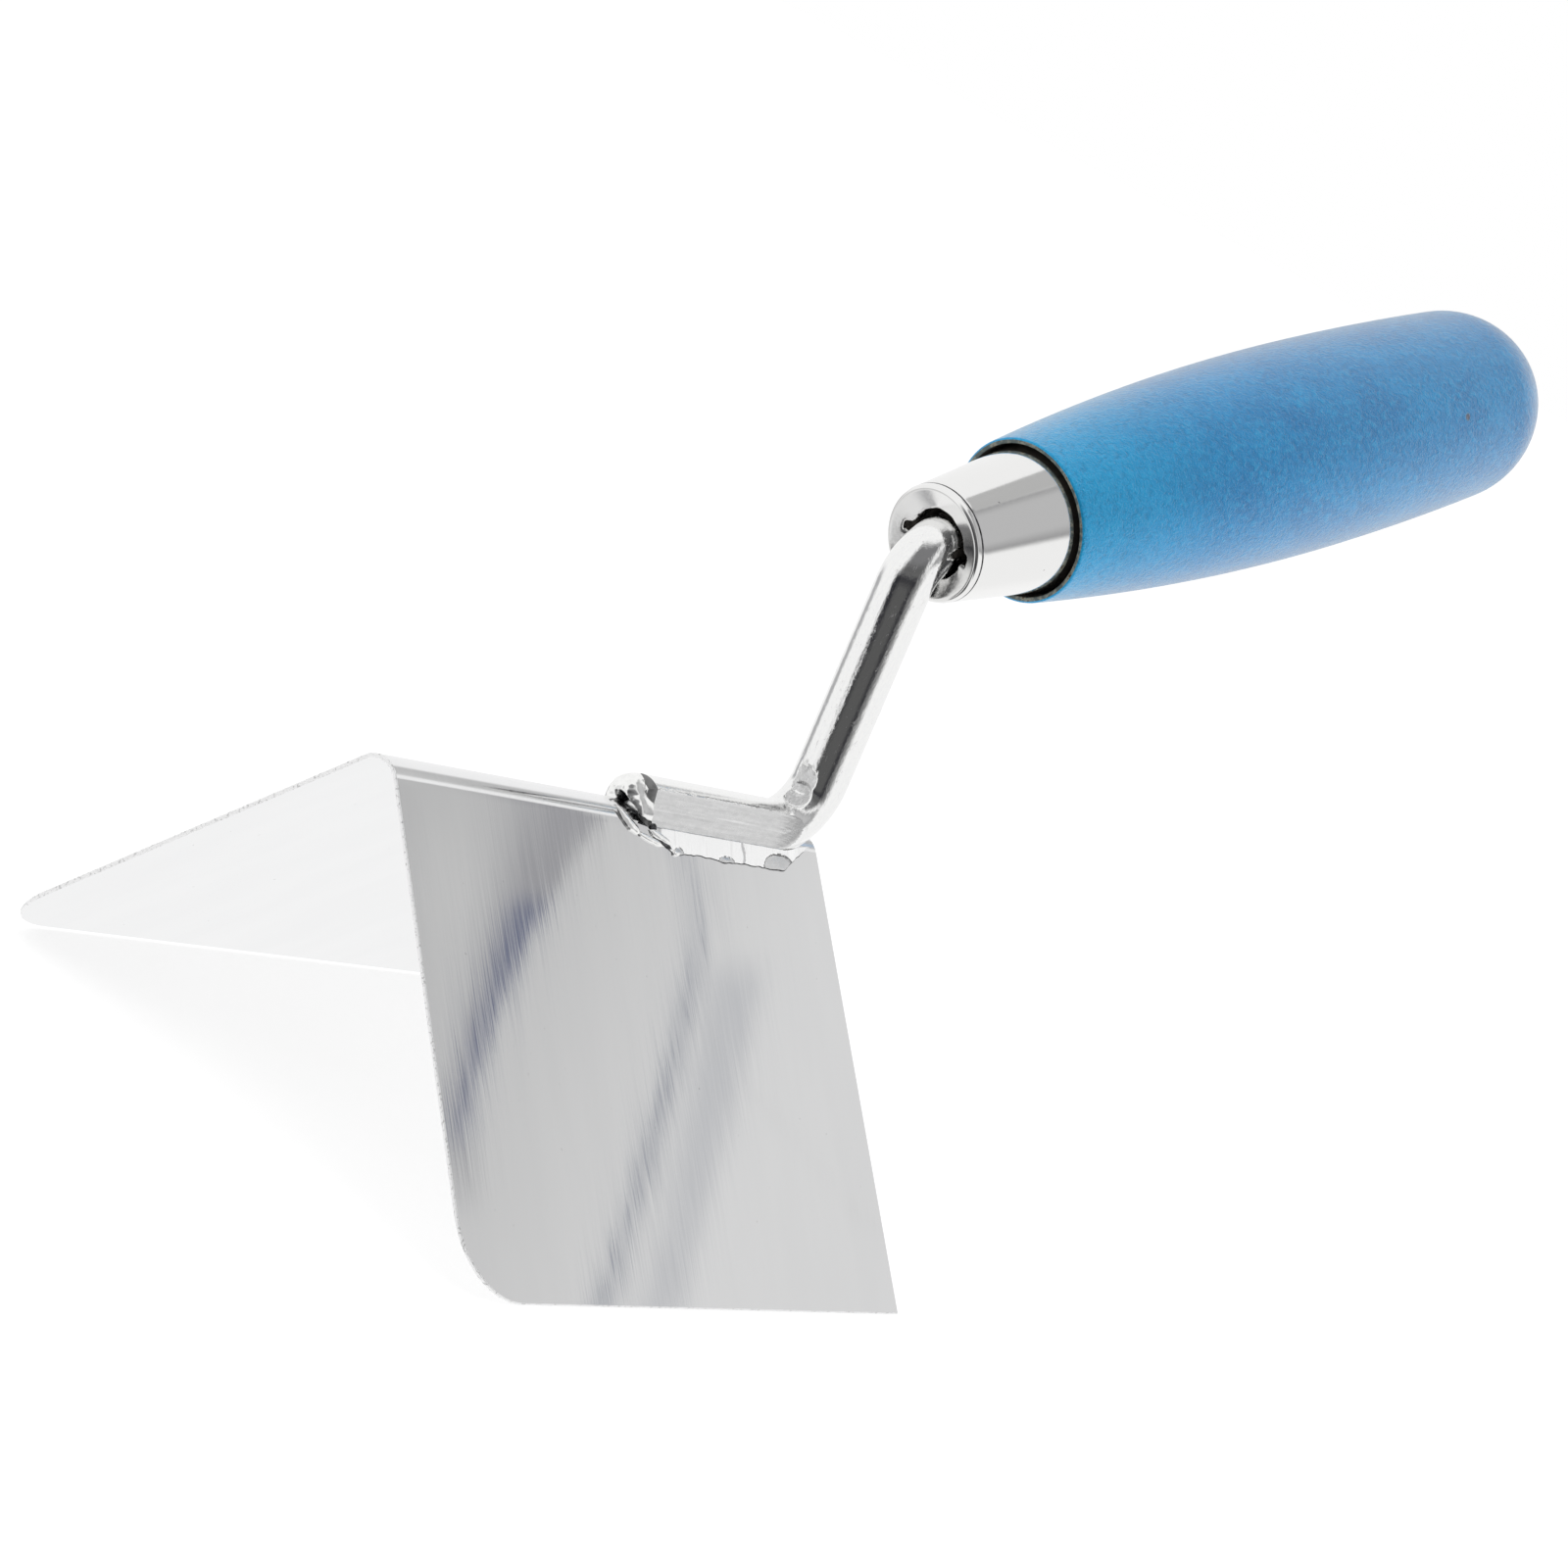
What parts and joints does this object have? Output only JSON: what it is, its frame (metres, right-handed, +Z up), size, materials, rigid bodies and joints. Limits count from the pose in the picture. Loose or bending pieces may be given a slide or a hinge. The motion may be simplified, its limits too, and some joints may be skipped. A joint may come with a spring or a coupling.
{
  "type": "corner trowel",
  "caption": "Outside corner trowel: a folded polished sheet blade, a cranked round shank welded along the fold, a dished ferrule and a turned blue wooden handle.",
  "frame": {"origin": "middle of the tool's bounding box in plan, on the floor that the blade's free edges stand on", "axes": "+X runs back along the blade's fold towards the end of the handle, +Z is up, along the bisector of the two flanges, and +Y is to the right of the person who holds the handle"},
  "size_m": [0.2171, 0.0954, 0.1534],
  "materials": {
    "polished_stainless": "polished",
    "plated_rod": "polished",
    "weld_metal": "satin",
    "ferrule_steel": "polished",
    "blue_painted_wood": "gloss"
  },
  "bodies": {
    "root": {"blade": "polished_stainless", "shank": "plated_rod", "weld_left": "weld_metal", "weld_right": "weld_metal", "weld_toe": "weld_metal", "ferrule": "ferrule_steel", "handle": "blue_painted_wood"}
  },
  "joints": []
}
